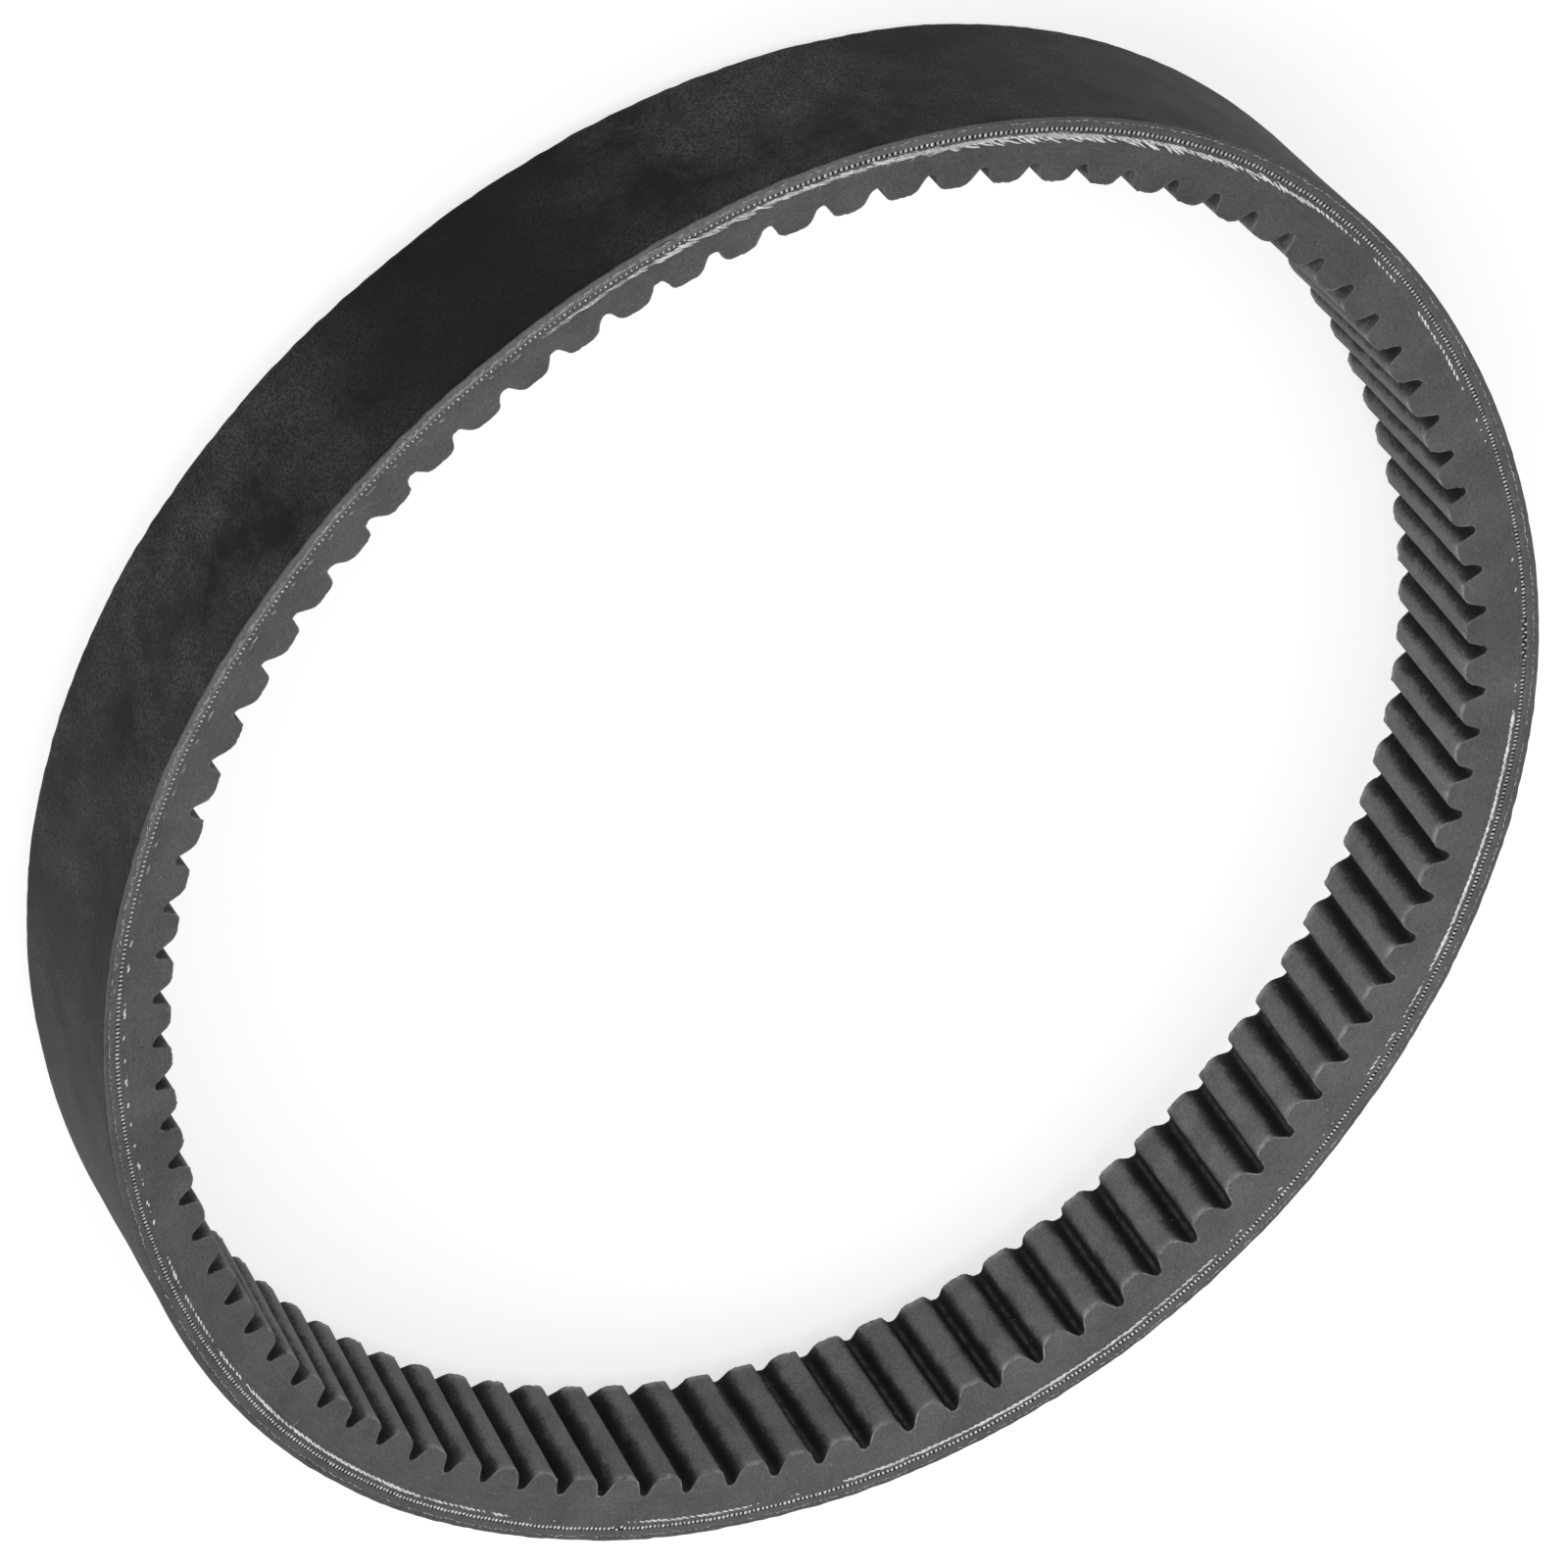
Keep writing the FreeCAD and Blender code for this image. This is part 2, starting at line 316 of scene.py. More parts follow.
# ---------------------------------------------------------------- cogs
def half_profile():
    """Half a cog pitch, from the middle of a notch to the middle of a crown.

    Rows of run, depth, and the normal that points into the rubber (run, depth)."""
    rows = []
    sine, cosine = math.sin(NOTCH_WALL), math.cos(NOTCH_WALL)
    root_centre = NOTCH_DEPTH + NOTCH_ROOT_RADIUS
    for turn in np.linspace(0, math.pi / 2 - NOTCH_WALL, 5):
        rows.append((NOTCH_ROOT_RADIUS * math.sin(turn), root_centre - NOTCH_ROOT_RADIUS * math.cos(turn),
                     math.sin(turn), -math.cos(turn)))
    crown_depth = BELT_HEIGHT - CROWN_RADIUS
    root_end = rows[-1]
    wall_run = root_end[0] + (crown_depth - root_end[1]) * math.tan(NOTCH_WALL)
    crown_run = wall_run + CROWN_RADIUS / cosine
    wall_end = (crown_run - CROWN_RADIUS * cosine, crown_depth + CROWN_RADIUS * sine)
    for share in (0.33, 0.67):
        rows.append((root_end[0] + (wall_end[0] - root_end[0]) * share,
                     root_end[1] + (wall_end[1] - root_end[1]) * share, cosine, -sine))
    for turn in np.linspace(NOTCH_WALL, math.pi / 2, 7):
        rows.append((crown_run - CROWN_RADIUS * math.cos(turn), crown_depth + CROWN_RADIUS * math.sin(turn),
                     math.cos(turn), -math.sin(turn)))
    middle = 0.5 * PITCH * run_scale(BELT_HEIGHT)
    for share in (0.5, 1.0):
        rows.append((crown_run + (middle - crown_run) * share, BELT_HEIGHT + 0.05 * share, 0.0, -1.0))
    return np.array(rows)


def run_scale(depth):
    """Length along the belt at one depth, per length along the cord line."""
    return 1 - (depth - TENSION_CORD_DEPTH) / (MEAN_RADIUS - TENSION_CORD_DEPTH)


def cog_profile():
    """One whole pitch of the cog outline, centred on a notch."""
    half = half_profile()
    left = half[:0:-1] * np.array([-1, 1, -1, 1])
    return np.concatenate([left[1:], half])


def cogged_rubber():
    """The body with its moulded cogs: two cut edges and the inner face between them."""
    profile = cog_profile()
    count = len(profile)
    notch_runs = FIRST_NOTCH + PITCH * np.arange(COG_COUNT)
    stations = COG_COUNT * count
    notch = np.repeat(notch_runs, count)
    x, d, nx, nd = (np.tile(profile[:, k], COG_COUNT) for k in range(4))
    seat = notch + x / run_scale(d)
    d = d + waviness(seat, 51, 15, 120, 0.03)
    openness = np.clip((d - NOTCH_DEPTH) / (BELT_HEIGHT - NOTCH_DEPTH), 0, 1)

    # Cut edges: rows that follow the cog outline, then straight rows up to the layer above.
    rim_steps = np.array([0.0, 0.10, 0.24, 0.42])
    rim_lifts = np.array([0.10, 0.13, 0.05, 0.0])
    # Painted highlight along the cog outline on each cut edge: its strength on each row of the rim.
    rim_highlight_tones = np.array([1.0, 1.0, 0.5, 0.0])
    # The share before the last is a guard row.
    row_shares = np.array([0.17, 0.34, 0.51, 0.68, 0.84, 0.997, 1.0])

    def cut_edge(side):
        # flash also scales the painted rim highlight, and lit paints it stronger round cog 14.
        flash = np.clip(0.45 + waviness(seat, 60 + side, 1.2, 12, 0.5, 24), 0.03, 1.6)
        lit = 0.45 + 0.55 * stretch(seat, 14, 15, 6, side)
        ragged = waviness(seat, 70 + side, 0.8, 5, 0.085, 30)
        chips = waviness(seat, 75 + side, 1.5, 9, 1.0, 30)
        ragged += 0.45 * np.clip(chips - 1.25, 0, 0.8) - 0.35 * np.clip(-chips - 1.4, 0, 0.6)
        runs, depths, lifts, rim_highlights = [], [], [], []
        for step, lift, tone in zip(rim_steps, rim_lifts, rim_highlight_tones):
            inset = step + (ragged if step == 0 else 0)
            runs.append(notch + (x + nx * inset) / run_scale(d))
            depths.append(d + nd * inset)
            lifts.append(lift * flash)
            rim_highlights.append(tone * flash * lit)
        start_run, start_depth = runs[-1], depths[-1]
        target_run = notch + x
        for share in row_shares:
            runs.append(start_run + (target_run - start_run) * share)
            depths.append(start_depth + (settle(COMPRESSION_TOP, seat, side) - start_depth) * share)
            lifts.append(np.zeros(stations))
            rim_highlights.append(np.zeros(stations))
        runs, depths, lifts, rim_highlights = (np.array(part).T for part in (runs, depths, lifts, rim_highlights))
        offset = side * (half_width(depths) + lifts + edge_wave(runs, side))
        return runs, depths, offset, rim_highlights

    near_run, near_depth, near_offset, near_rim_highlight = cut_edge(1)
    far_run, far_depth, far_offset, far_rim_highlight = cut_edge(-1)

    # Moulded inner face, from the near contour to the far one.
    columns = np.array([0.985, 0.95, 0.89, 0.74, 0.5, 0.25, 0.0, -0.25, -0.5, -0.74, -0.89, -0.95, -0.985])
    inner_offset = half_width(d)[:, None] * columns
    sway = sum(np.outer(waviness(seat, 80 + k, 20, 150, 0.02), np.cos(k * math.pi * columns))
               for k in range(3))
    inner_depth = d[:, None] + sway
    inner_run = np.tile(seat[:, None], (1, len(columns)))

    run = np.concatenate([near_run[:, ::-1], inner_run, far_run], 1)
    depth = np.concatenate([near_depth[:, ::-1], inner_depth, far_depth], 1)
    offset = np.concatenate([near_offset[:, ::-1], inner_offset, far_offset], 1)
    # Painted highlight on the moulded face next to the cut edges, on the crowns only.
    lip_highlight = np.outer(np.clip(4 * openness - 3, 0, 1), np.interp(np.abs(columns), (0.88, 0.985), (0.0, 0.6)))
    rim_highlight = np.concatenate([near_rim_highlight[:, ::-1], lip_highlight, far_rim_highlight], 1)
    shade = np.tile(np.interp(np.abs(columns), (0.9, 0.985), (1.0, 0.84)), (stations, 1))
    # The painted shade is weaker in the near ends of the notches from cog 41 to cog 78, so they look paler.
    place = cogs_travelled(seat)
    weaker_notch_shade = np.clip(np.minimum(place - 41, 78 - place) / 4, 0, 1)
    shade -= 0.66 * np.outer(weaker_notch_shade, np.interp(columns, (0.5, 0.9), (0, 1)))
    near_blank, far_blank = np.zeros_like(near_depth), np.zeros_like(far_depth)
    # Painted shade: the deeper a point of the moulded face lies in a notch, the darker it is painted.
    painted_notch_shade = np.concatenate([near_blank, (1 - openness)[:, None] * shade, far_blank], 1)
    strip = np.outer(np.clip(1 - np.abs(x) / 0.7, 0, 1), np.interp(np.abs(columns), (0.8, 0.95), (1, 0.3)))
    root = np.concatenate([near_blank, strip, far_blank], 1)
    inside = np.concatenate([near_blank, np.ones_like(inner_depth), far_blank], 1)
    return loop_piece("cogged_rubber_body", run, depth, offset, (run.shape[1] - 1,),
                      {"rim_highlight": rim_highlight, "painted_notch_shade": painted_notch_shade, "inner_face": inside, "root": root})


# ---------------------------------------------------------------- cords
def tube_rings(points, side_vectors, up_vectors, radii_side, radii_up, sides):
    """Rings of points round a path, given two unit vectors per path point."""
    around = 2 * math.pi * np.arange(sides) / sides
    return (points[..., None, :]
            + side_vectors[..., None, :] * (radii_side[..., None] * np.cos(around))[..., None]
            + up_vectors[..., None, :] * (radii_up[..., None] * np.sin(around))[..., None])


def tube_faces(tubes, rings, sides):
    """Side quads and end caps for tubes stored as (tubes, rings, sides) points."""
    index = np.arange(tubes * rings * sides).reshape(tubes, rings, sides)
    here, ahead = index[:, :-1], index[:, 1:]
    quads = np.stack([here, np.roll(here, -1, 2), np.roll(ahead, -1, 2), ahead], -1).reshape(-1, 4)
    faces = quads.tolist()
    faces += index[:, 0, ::-1].tolist()
    faces += index[:, -1].tolist()
    return faces


def transverse_cords():
    """Cut stiffening cords, one solid each, with rough domed ends standing on the raw edges."""
    count = TRANSVERSE_CORD_COUNT
    runs = np.arange(count) * LOOP / count + random.normal(0, 0.035, count)
    # At the two lap splices neighbouring cords lie one above the other.
    place = cogs_travelled(runs)
    lap = ((place > 83.5) & (place < 84.4)) | ((place > 22.2) & (place < 22.5))
    stagger = np.where(lap, np.where(np.arange(count) % 2, 0.30, -0.30), 0.0)
    nominal = 0.5 * (CORD_PLY[0] + CORD_PLY[1])
    scatter = random.normal(0, 0.03, count) + stagger
    angle = np.interp(np.mod(runs, LOOP), RUNS, FINE_ANGLES)
    origin, inward, axial = section_frames(angle)
    run_vector = np.cross(inward, axial)
    thickness = random.uniform(0.88, 1.1, count)
    thickness *= 1 - 0.15 * pale_stretch(runs, 1)
    breadth = thickness * (1 + 0.25 * stretch(runs, 16.5, 12.5, 3))
    # Distances in from the domed tip, with the share of the full radius at each.
    end_steps = ((-0.09, 0.3), (-0.05, 0.72), (0.03, 1.0), (0.5, 1.0))
    rings = []
    for side in (1, -1):
        depth = settle(nominal, runs, side) + scatter
        tip = half_width(depth) + edge_wave(runs, side) - 0.04 + random.normal(0, 0.02, count)
        for inset, share in end_steps[::side]:
            centre = origin + inward * depth[:, None] + axial * (side * (tip - inset))[:, None]
            rings.append(tube_rings(centre, run_vector, inward, 0.25 * share * breadth,
                                    0.42 * share * thickness, 8))
    points = (np.stack(rings, 1) - CENTRE) * MM
    tone = np.clip(random.normal(0.68, 0.15, count), 0.15, 1.0)
    # Besides each cord's own random tone, the cords are painted paler round cog 16 and darker round cogs 38
    # and 77, painted light and shade; the smeared stretch is a little paler.
    tone *= (1 + 0.18 * stretch(runs, 16.5, 12.5, 3) - 0.25 * stretch(runs, 38, 5, 3)
             - 0.25 * stretch(runs, 77, 13, 3) + 0.1 * pale_stretch(runs, 1))
    cord_tone_and_light = np.repeat(tone, len(rings) * 8)
    return make_piece("cross_cord_ends", points, tube_faces(count, len(rings), 8),
                      values={"cord_tone_and_light": cord_tone_and_light})


# Stretches where the outermost turn of the tension cord stands out of the cut edge: first cog, last cog and
# height in mm, with the places to the nearest half cog. Elsewhere it lies just below the cut.
PROUD = (
    (-0.5, 1.5, 0.17), (1.5, 4, 0.05), (9, 11, 0.10), (11, 17.5, 0.18), (19.5, 22, 0.13),
    (25, 27.5, 0.10), (27.5, 30.5, 0.18), (30.5, 32.5, 0.13), (32.5, 37, 0.07),
    (57, 60.5, 0.22), (60.5, 72.5, 0.13), (72.5, 74.5, 0.05), (75.5, 77.5, 0.09), (85.5, 90.5, 0.18),
)
PROUD_FADE = 0.6
BURIED = -0.025
# Places, in cogs, of the two thickest tufts of torn filaments.
TUFTS = ((63.1, 64.8), (65.8, 66.9))


def cord_showing(run, side):
    """How far the outermost turn of the tension cord stands out of the raw edge, in mm."""
    place = side_place(run, side)
    windows = (stretch(run, (first + last) / 2, (last - first) / 2 + 0.5 * PROUD_FADE, PROUD_FADE, side)
               for first, last, _ in PROUD)
    height = BURIED + sum((rise - BURIED) * window for (_, _, rise), window in zip(PROUD, windows))
    # Pulses twice in every cog, on the one stretch where the cord shows as a row of short dashes.
    swell = 0.14 * stretch(run, 47, 10.5, 1.5, side)
    pulse = np.clip(np.cos(4 * math.pi * place), 0, 1) ** 3 * swell
    return height + pulse + waviness(run, 95 + side, 3, 18, 0.05, 24)


def cord_edge(run, side):
    """Depth and offset of the outermost turn's centre line beside one raw edge."""
    depth = settle(TENSION_CORD_DEPTH, run, side)
    offset = half_width(depth) + edge_wave(run, side) - TENSION_CORD_RADIUS + cord_showing(run, side)
    return depth, side * offset


def tension_cord():
    """The wound cord: twisted strands where it runs beside either raw edge, plain turns inside."""
    strand_sides, steps_per_twist = 7, 9
    inner_sides, steps_per_turn = 8, 120
    edge_clearance = 2.2
    verts, faces = [], []
    first = 0
    twists = round(LOOP / TWIST_PITCH)
    run = np.linspace(0, LOOP, twists * steps_per_twist, endpoint=False)
    angle = np.interp(run, RUNS, FINE_ANGLES)
    origin, inward, axial = section_frames(angle)
    ring = np.arange(len(run) * strand_sides).reshape(len(run), strand_sides)
    ahead = np.roll(ring, -1, 0)
    quads = np.stack([ring, np.roll(ring, -1, 1), np.roll(ahead, -1, 1), ahead], -1).reshape(-1, 4)
    for side in (1, -1):
        depth, offset = cord_edge(run, side)
        centre = origin + inward * depth[:, None] + axial * offset[:, None]
        for strand in range(3):
            turn = side * 2 * math.pi * (run * twists / LOOP + strand / 3)
            plump = STRAND_RADIUS * (1 + waviness(run, 110 + strand + side, 1.5, 8, 0.08, 20))
            swing = TENSION_CORD_RADIUS - STRAND_RADIUS
            path = centre + inward * (swing * np.cos(turn))[:, None] + axial * (swing * np.sin(turn))[:, None]
            verts.append(tube_rings(path, inward, axial, plump, plump, strand_sides).reshape(-1, 3))
            faces += (quads + first).tolist()
            first += len(run) * strand_sides

    inner_reach = half_width(TENSION_CORD_DEPTH) - edge_clearance
    inner_turns = int(2 * inner_reach / TENSION_CORD_PITCH)
    travel = np.linspace(0, inner_turns, inner_turns * steps_per_turn + 1)
    origin, inward, axial = section_frames(2 * math.pi * travel)
    offset = -inner_reach + TENSION_CORD_PITCH * travel
    path = origin + inward * TENSION_CORD_DEPTH + axial * offset[:, None]
    full = np.full(len(travel), TENSION_CORD_RADIUS)
    verts.append(tube_rings(path, inward, axial, full, full, inner_sides).reshape(-1, 3))
    faces += [[first + k for k in face] for face in tube_faces(1, len(travel), inner_sides)]
    points = (np.concatenate(verts) - CENTRE) * MM
    smeared = [np.repeat(pale_stretch(run, side), strand_sides) for side in (1, -1) for _ in range(3)]
    smeared.append(np.zeros(len(travel) * inner_sides))
    return make_piece("tension_cord_winding", points, faces,
                      values={"smeared": np.concatenate(smeared)})


def place_runs(places):
    """Length along the cord line at places counted in cogs."""
    return REFERENCE_RUN - places * PITCH


def thin_tubes(name, run, depth, offset, radii, sides=5):
    """Separate thin threads, each a row of run, depth and offset values with a radius at every step."""
    paths = belt_points(run, depth, offset) / MM
    along = np.gradient(paths, axis=1)
    along /= np.linalg.norm(along, axis=2, keepdims=True)
    across = np.cross(along, np.array([0.3, 0.5, 0.81]))
    across /= np.linalg.norm(across, axis=2, keepdims=True)
    points = tube_rings(paths, across, np.cross(along, across), radii, radii, sides) * MM
    return make_piece(name, points, tube_faces(len(run), run.shape[1], sides))


def cord_fibres():
    """Filaments torn loose by the cut, dense where the cord is frayed."""
    steps = np.linspace(0, 1, 7)
    parts = []
    for side in (1, -1):
        places = [random.uniform(0, COG_COUNT, 1500)]
        for start, end in TUFTS:
            places.append(random.uniform(start, end, 200))
        places.append(random.uniform(60, 69, 300))
        places = np.concatenate(places)
        if side == -1:
            places = places - 37
        start = place_runs(places)
        count = len(start)
        bare = np.clip(cord_showing(start, side) / 0.3, 0, 1.3)
        frayed = np.zeros(count)
        shifted = side_place(start, side)
        bare += stretch(start, 64.5, 5, 1.5, side)
        for low, high in TUFTS:
            frayed += np.clip(np.minimum(shifted - low, high - shifted) / 0.25, 0, 1)
        keep = random.uniform(0.1, 1, count) < bare
        reach = random.uniform(0.7, 2.4, count) * random.choice((-1, 1), count) * (1 + 0.4 * frayed)
        sweep = random.normal(0, 0.16, count) * (1 + 1.6 * frayed)
        rise = np.abs(random.normal(0.03, 0.06, count)) * (1 + 3.0 * frayed)
        run = start[:, None] + reach[:, None] * steps
        depth, offset = cord_edge(run, side)
        depth = depth + random.uniform(-0.36, 0.36, count)[:, None] + sweep[:, None] * steps**1.5
        curl = random.uniform(0.6, 1.3, count)[:, None]
        offset = offset + side * (0.36 + rise[:, None] * np.sin(curl * math.pi * steps))
        radii = random.uniform(0.025, 0.07, count)[:, None] * (1 - 0.6 * steps)
        parts.append([part[keep] for part in (run, depth, offset, radii)])
        # Bundles that have sprung out of the rope, slanted one over the next.
        places = np.concatenate([random.uniform(58, 72, 125), random.uniform(27, 33, 22),
                                 random.uniform(11, 17, 16)])
        count = len(places)
        start = place_runs(places - (37 if side == -1 else 0))
        reach = random.uniform(2.0, 4.6, count)
        run = start[:, None] + reach[:, None] * steps
        depth, offset = cord_edge(run, side)
        fray = np.interp(places, (10, 34, 58, 60, 67, 72), (0.45, 0.45, 0.5, 1.0, 1.0, 0.6))
        slant = random.uniform(0.6, 1.6, count) * fray
        middle = random.normal(0.10, 0.24, count) * fray + 0.5 * stretch(start, 66.6, 3.4, 2, side)
        depth = depth + middle[:, None] + slant[:, None] * (0.5 - steps)
        bow = (0.18 * fray * random.uniform(0.3, 1.6, count))[:, None] * np.sin(math.pi * steps)
        offset = offset + side * (0.45 + bow - cord_showing(run, side))
        taper = np.sin(math.pi * (0.08 + 0.84 * steps))
        radii = (random.uniform(0.11, 0.22, count) * (0.5 + 0.5 * fray))[:, None] * taper
        parts.append([run, depth, offset, radii])
    # A few long ones stand across the layers.
    standing = np.array([61.9, 62.0, 62.9, 65.0, 65.1, 65.2, 31.2, 86.8])
    count = len(standing)
    run = place_runs(standing)[:, None] + random.normal(0, 0.25, (count, 1)) * steps**1.4
    depth, offset = cord_edge(run, 1)
    depth = depth + np.outer(random.uniform(-2.0, 2.6, count), steps)
    offset = half_width(depth) + edge_wave(run, 1) + 0.05 + 0.12 * np.sin(math.pi * steps)
    parts.append([run, depth, offset, 0.03 * np.tile(1 - 0.5 * steps, (count, 1))])
    run, depth, offset, radii = (np.concatenate(group) for group in zip(*parts))
    return thin_tubes("tension_cord_fibres", run, depth, offset, radii, 4)


def ply_threads():
    """Cut thread ends of the fabric ply: a faint broken line along both raw edges, doubled where the edge
    shows wear.
    """
    steps = np.linspace(0, 1, 5)
    taper = np.array([0.35, 0.85, 1.0, 0.85, 0.35])
    parts = []
    for side in (1, -1):
        for row in (0, 1):
            start = np.cumsum(random.uniform(0.8, 1.3, 1200) if row else random.uniform(0.85, 1.75, 900))
            start = start[start < LOOP - 3]
            patchy = np.clip(0.8 + waviness(start, 130 + side, 15, 90, 0.4), 0.4, 1.0)
            odds = 0.9 * stretch(start, 52, 9, 3, side) if row else patchy
            start = start[random.uniform(0, 1, len(start)) < odds]
            count = len(start)
            length = random.uniform(0.5, 1.4, count)
            run = start[:, None] + length[:, None] * steps
            nominal = 0.5 * (FABRIC_PLY[0] + FABRIC_PLY[1]) - 0.02 + 0.45 * row
            slant = random.choice((-0.2, 0.24), count)[:, None] * (steps - 0.5)
            depth = settle(nominal, run, side) + random.normal(0, 0.09, count)[:, None] + slant
            offset = side * (half_width(depth) + edge_wave(run, side) - 0.03 + 0.03 * np.sin(math.pi * steps))
            radii = (random.uniform(0.045, 0.09, count) + 0.012 * row)[:, None] * taper
            parts.append([run, depth, offset, radii])
    run, depth, offset, radii = (np.concatenate(group) for group in zip(*parts))
    return thin_tubes("ply_thread_ends", run, depth, offset, radii)


# ---------------------------------------------------------------- assembly
pieces = {
    "back_cover": back_cover(),
    "fabric_ply": layer_ring("fabric_ply_band", FABRIC_PLY, recess=0.03, fuzz=(0.45, 0.4)),
    "overcord_rubber": layer_ring("overcord_rubber_band", OVERCORD_RUBBER, groove=0.02,
                                  fuzz=(0.05, 0.75)),
    "transverse_cords": transverse_cords(),
    "upper_adhesion_rubber": layer_ring("upper_adhesion_band", UPPER_ADHESION, groove=0.01),
    "tension_cord": tension_cord(),
    "lower_adhesion_rubber": layer_ring("lower_adhesion_band", LOWER_ADHESION, groove=0.0),
    "cogged_compression_rubber": cogged_rubber(),
}
for node, piece in pieces.items():
    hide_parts(node)
details = {
    "cord_ply_rubber": layer_ring("cord_ply_rubber", CORD_PLY, recess=0.20, groove=0.0),
    "cord_band_rubber": layer_ring("cord_band_rubber", CORD_BAND, groove=0.0),
    "cord_fibres": cord_fibres(),
    "ply_threads": ply_threads(),
}


# ---------------------------------------------------------------- materials
class Paint:
    """One node material under construction."""

    def __init__(self, name, roughness, specular):
        self.material = bpy.data.materials.new(name)
        self.material.use_nodes = True
        self.tree = self.material.node_tree
        self.shader = self.tree.nodes["Principled BSDF"]
        self.shader.inputs["Roughness"].default_value = roughness
        self.shader.inputs["Specular IOR Level"].default_value = specular
        self.place = self.node("TexCoord").outputs["Object"]

    def node(self, kind, *sockets, **settings):
        made = self.tree.nodes.new("ShaderNode" + kind)
        for key, value in settings.items():
            setattr(made, key, value)
        for key, value in sockets:
            if isinstance(value, bpy.types.NodeSocket):
                self.tree.links.new(value, made.inputs[key])
            else:
                made.inputs[key].default_value = value
        return made

    def noise(self, scale, detail=3.0, roughness=0.55, vector=None):
        return self.node("TexNoise", ("Vector", vector or self.place), ("Scale", scale), ("Detail", detail),
                         ("Roughness", roughness)).outputs["Fac"]

    def ramp(self, factor, *stops):
        made = self.node("ValToRGB", ("Fac", factor))
        elements = made.color_ramp.elements
        while len(elements) < len(stops):
            elements.new(0.5)
        for element, (position, tone) in zip(elements, stops):
            element.position = position
            element.color = (tone, tone, tone * 0.995, 1)
        return made.outputs["Color"]

    def blend(self, factor, first, second, mode="MIX"):
        made = self.node("Mix", (0, factor), (6, first), (7, second), data_type="RGBA", blend_type=mode)
        return made.outputs[2]

    def value(self, key):
        return self.node("Attribute", attribute_name=key).outputs["Fac"]

    def math(self, operation, first, second):
        return self.node("Math", (0, first), (1, second), operation=operation).outputs[0]

    def streaks(self, along, across):
        """Coordinates stretched along the belt's run, from the distance across its surfaces."""
        uv = self.node("UVMap", uv_map="belt").outputs["UV"]
        over = self.node("SeparateXYZ", ("Vector", uv)).outputs["Y"]
        tall = self.node("CombineXYZ", ("Z", self.math("MULTIPLY", over, across)))
        flat = self.node("VectorMath", (0, self.place), (1, (along, along, 0)), operation="MULTIPLY")
        return self.node("VectorMath", (0, flat.outputs[0]), (1, tall.outputs[0]), operation="ADD").outputs[0]

    def finish(self, colour, height, depth, roughness=None):
        self.tree.links.new(colour, self.shader.inputs["Base Color"])
        bump = self.node("Bump", ("Height", height), ("Distance", depth), ("Strength", 0.8))
        self.tree.links.new(bump.outputs["Normal"], self.shader.inputs["Normal"])
        if roughness is not None:
            self.tree.links.new(roughness, self.shader.inputs["Roughness"])
        return self.material


def cut_rubber_colour(paint, level):
    """Grey of a cut rubber face: soft smudges, fine grain, faint streaks left by the knife."""
    clouds = paint.ramp(paint.noise(75, 5, 0.65), (0.32, level * 0.80), (0.68, level * 1.16))
    grain = paint.ramp(paint.noise(1900, 3, 0.7), (0.3, 0.72), (0.7, 1.28))
    knife = paint.ramp(paint.noise(1.0, 3, vector=paint.streaks(90, 5200)), (0.3, 0.90), (0.7, 1.09))
    colour = paint.blend(1.0, clouds, grain, "MULTIPLY")
    colour = paint.blend(1.0, colour, knife, "MULTIPLY")
    # Painted light and shade: the cut faces are painted paler or darker stretch by stretch round the loop.
    tone_and_painted_light = paint.ramp(paint.value("tone_and_painted_light"), (0.0, 0.80), (1.0, 1.133))
    colour = paint.blend(1.0, colour, tone_and_painted_light, "MULTIPLY")
    fuzz = paint.math("MULTIPLY", paint.value("fuzz"),
                      paint.ramp(paint.noise(1300, 3, 0.7), (0.36, 0.25), (0.62, 1.0)))
    colour = paint.blend(fuzz, colour, (0.24, 0.24, 0.238, 1))
    dust = paint.ramp(paint.noise(1700, 0), (0.845, 0.0), (0.875, 0.6))
    return paint.blend(dust, colour, (0.3, 0.3, 0.29, 1))


def edge_rubber():
    paint = Paint("cut_edge_rubber", 0.82, 0.2)
    return paint.finish(cut_rubber_colour(paint, 0.100),
                        paint.noise(1.0, 4, vector=paint.streaks(400, 6000)), 0.00008)


def shadowed_rubber():
    paint = Paint("cord_ply_matrix", 0.9, 0.1)
    gaps = paint.ramp(paint.noise(900, 3), (0.3, 0.010), (0.7, 0.028))
    colour = paint.blend(paint.value("filled"), gaps, (0.105, 0.105, 0.104, 1))
    return paint.finish(colour, paint.noise(2500), 0.00008)


def back_rubber():
    paint = Paint("back_rubber", 0.60, 0.125)
    clouds = paint.noise(48, 6, 0.72)
    face = paint.ramp(clouds, (0.36, 0.001), (0.66, 0.020))
    # Painted shade and sheen: the back's colour is scaled darker or paler along the loop.
    face = paint.blend(1.0, face, paint.ramp(paint.value("painted_shade_and_sheen"), (0.0, 1.6), (0.25, 1.0), (1.0, 0.22)),
                       "MULTIPLY")
    grain = paint.ramp(paint.noise(2100, 2, 0.8), (0.38, 0.35), (0.62, 1.95))
    face = paint.blend(1.0, face, grain, "MULTIPLY")
    specks = paint.ramp(paint.noise(900, 1), (0.78, 0.0), (0.83, 0.5))
    face = paint.blend(specks, face, (0.05, 0.05, 0.05, 1))
    colour = paint.blend(paint.value("cut_edge"), face, cut_rubber_colour(paint, 0.096))
    dull = paint.ramp(clouds, (0.3, 0.54), (0.7, 0.67))
    return paint.finish(colour, paint.noise(1600, 4, 0.6), 0.00010, dull)


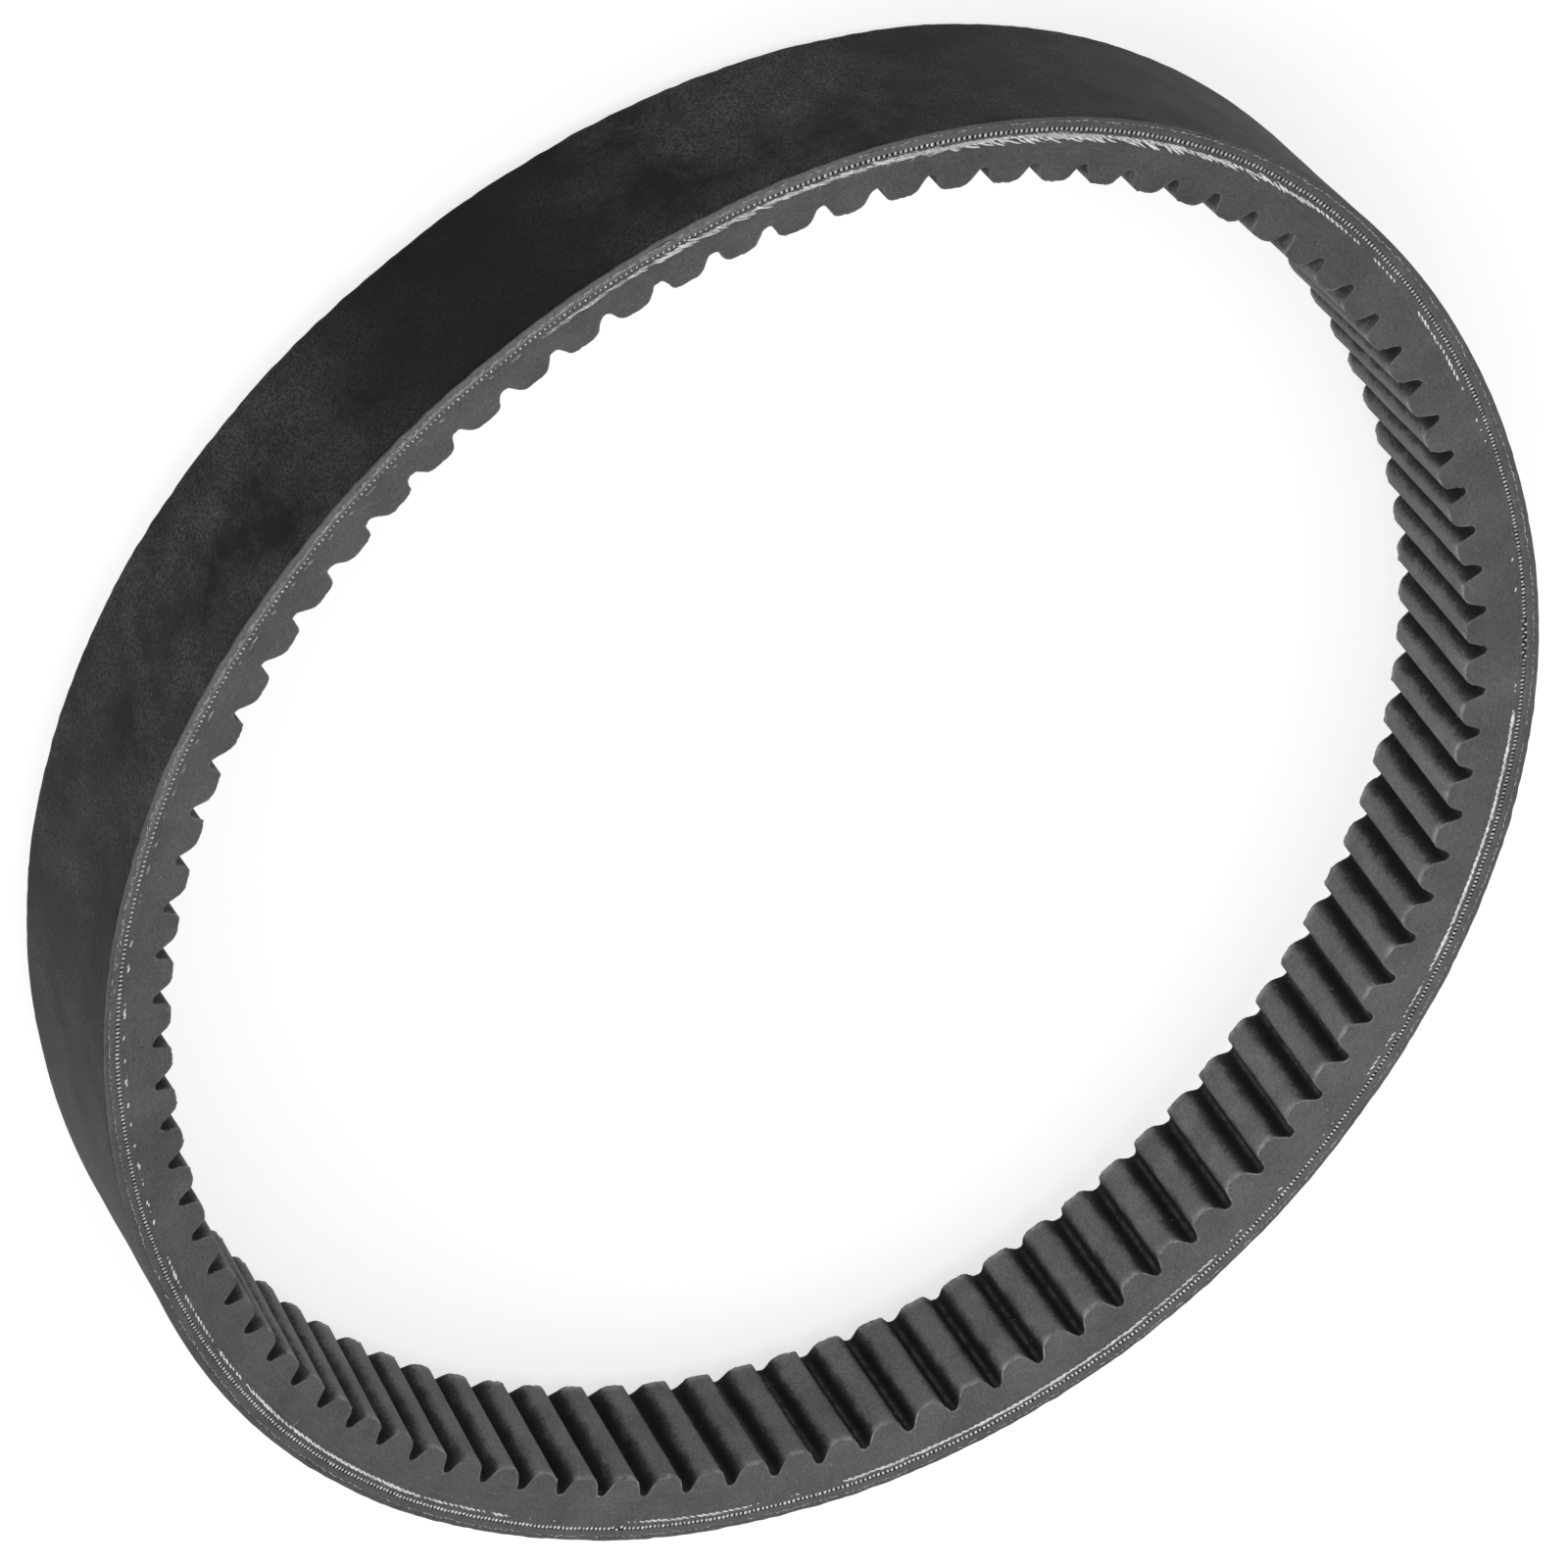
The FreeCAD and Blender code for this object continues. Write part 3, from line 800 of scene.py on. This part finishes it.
def cog_rubber():
    paint = Paint("cog_rubber", 0.80, 0.2)
    # Painted shade: the moulded face is painted darker the deeper it lies in a notch, with a ragged border.
    ragged = paint.math("ADD", paint.noise(1300, 4, 0.8), paint.noise(220, 3))
    ragged = paint.math("MULTIPLY", paint.math("SUBTRACT", ragged, 1.0), 0.70)
    ragged = paint.math("MULTIPLY", ragged, paint.ramp(paint.value("painted_notch_shade"), (0.0, 0.12), (0.12, 1.0)))
    depth = paint.math("ADD", paint.value("painted_notch_shade"), ragged)
    inner = paint.ramp(depth, (0.0, 0.096), (0.06, 0.083), (0.24, 0.036), (0.48, 0.013), (0.8, 0.008))
    strip = paint.math("MULTIPLY", paint.value("root"),
                       paint.ramp(paint.noise(600, 3), (0.35, 0.1), (0.6, 1.0)))
    inner = paint.blend(strip, inner, (0.055, 0.055, 0.055, 1))
    grain = paint.ramp(paint.noise(1700, 3, 0.7), (0.3, 0.70), (0.7, 1.30))
    inner = paint.blend(1.0, inner, grain, "MULTIPLY")
    smudges = paint.ramp(paint.noise(120, 4), (0.3, 0.80), (0.7, 1.16))
    inner = paint.blend(1.0, inner, smudges, "MULTIPLY")
    dust = paint.ramp(paint.noise(1500, 0), (0.83, 0.0), (0.87, 0.6))
    inner = paint.blend(dust, inner, (0.18, 0.18, 0.175, 1))
    colour = paint.blend(paint.value("inner_face"), cut_rubber_colour(paint, 0.100), inner)
    # Painted highlight: the cog outline is painted a patchy lighter grey.
    patchy = paint.math("MULTIPLY", paint.value("rim_highlight"),
                        paint.ramp(paint.noise(420, 3, 0.7), (0.36, 0.1), (0.60, 1.0)))
    colour = paint.blend(patchy, colour, (0.32, 0.32, 0.315, 1))
    return paint.finish(colour, paint.noise(1900, 4, 0.6), 0.00009)


def cord_yarn(name, light):
    paint = Paint(name, 0.85, 0.2)
    clumps = paint.ramp(paint.noise(650, 2), (0.36, light * 0.72), (0.56, light))
    strands = paint.ramp(paint.noise(2600, 3, 0.7), (0.32, 0.66), (0.58, 1.0))
    colour = paint.blend(1.0, clumps, strands, "MULTIPLY")
    rubbed = paint.math("MULTIPLY", paint.value("smeared"),
                        paint.ramp(paint.noise(1400, 2), (0.3, 0.5), (0.7, 1.0)))
    colour = paint.blend(rubbed, colour, (0.21, 0.21, 0.208, 1))
    return paint.finish(colour, paint.noise(6000, 2), 0.00005)


def cross_cord():
    paint = Paint("cross_cord_ends", 0.85, 0.2)
    tone_and_painted_light = paint.math("MULTIPLY", paint.value("cord_tone_and_light"),
                      paint.ramp(paint.noise(2600, 2), (0.3, 0.7), (0.7, 1.0)))
    return paint.finish(paint.ramp(tone_and_painted_light, (0.0, 0.14), (0.75, 0.72)), paint.noise(5000, 2), 0.00005)


edge = edge_rubber()
yarn = cord_yarn("tension_cord_yarn", 0.95)
looks = {
    "back_cover": back_rubber(),
    "fabric_ply": edge,
    "overcord_rubber": edge,
    "transverse_cords": cross_cord(),
    "upper_adhesion_rubber": edge,
    "tension_cord": yarn,
    "lower_adhesion_rubber": edge,
    "cogged_compression_rubber": cog_rubber(),
    "cord_ply_rubber": shadowed_rubber(),
    "cord_band_rubber": edge,
    "cord_fibres": yarn,
    "ply_threads": cord_yarn("ply_thread_yarn", 0.66),
}
for key, piece in {**pieces, **details}.items():
    piece.data.materials.append(looks[key])


# ---------------------------------------------------------------- stage, light and camera
def add_floor():
    """Plain pale floor just under the belt."""
    reach = 6.0
    height = Vector(cad_box[0]).z - 0.0002
    corners = [(-reach, -reach, height), (reach, -reach, height),
               (reach, reach, height), (-reach, reach, height)]
    mesh = bpy.data.meshes.new("floor")
    mesh.from_pydata(corners, [], [(0, 1, 2, 3)])
    floor = bpy.data.objects.new("floor", mesh)
    bpy.context.collection.objects.link(floor)
    material = bpy.data.materials.new("pale_floor")
    material.use_nodes = True
    shader = material.node_tree.nodes["Principled BSDF"]
    shader.inputs["Base Color"].default_value = (0.5, 0.5, 0.5, 1)
    shader.inputs["Roughness"].default_value = 0.9
    shader.inputs["Emission Color"].default_value = (1, 1, 1, 1)
    shader.inputs["Emission Strength"].default_value = 0.66
    mesh.materials.append(material)


# The camera stands in the same frame as the belt's outline, in mm. Lens and sensor width are in mm too.
CAMERA_PLACE = Vector((-745.56, -235.29, 669.94))
CAMERA_RIGHT = Vector((0.13098, 0.88444, 0.44790))
CAMERA_UP = Vector((-0.68632, 0.40692, -0.60281))
CAMERA_LENS = 126.6
SENSOR_WIDTH = 36


def add_camera():
    data = bpy.data.cameras.new("camera")
    data.lens = CAMERA_LENS
    data.sensor_width = SENSOR_WIDTH
    data.clip_end = 20
    camera = bpy.data.objects.new("camera", data)
    bpy.context.collection.objects.link(camera)
    right, up = CAMERA_RIGHT.normalized(), CAMERA_UP.normalized()
    back = right.cross(up)
    turn = Matrix((right, up, back)).transposed().to_4x4()
    place = (CAMERA_PLACE - Vector(CENTRE)) * MM
    camera.matrix_world = Matrix.Translation(place) @ turn
    bpy.context.scene.camera = camera


def add_light():
    world = bpy.data.worlds.new("studio")
    bpy.context.scene.world = world
    world.use_nodes = True
    world.node_tree.nodes["Background"].inputs["Color"].default_value = (1, 1, 1, 1)
    world.node_tree.nodes["Background"].inputs["Strength"].default_value = 0.8
    lamp = bpy.data.lights.new("side_softbox", "AREA")
    lamp.size = 1.2
    lamp.energy = 13
    softbox = bpy.data.objects.new("side_softbox", lamp)
    bpy.context.collection.objects.link(softbox)
    place = Vector((-0.35, -1.5, 0.40))
    softbox.matrix_world = Matrix.Translation(place) @ place.to_track_quat("Z", "Y").to_matrix().to_4x4()


add_floor()
add_camera()
add_light()
bpy.context.scene.view_settings.view_transform = "Standard"
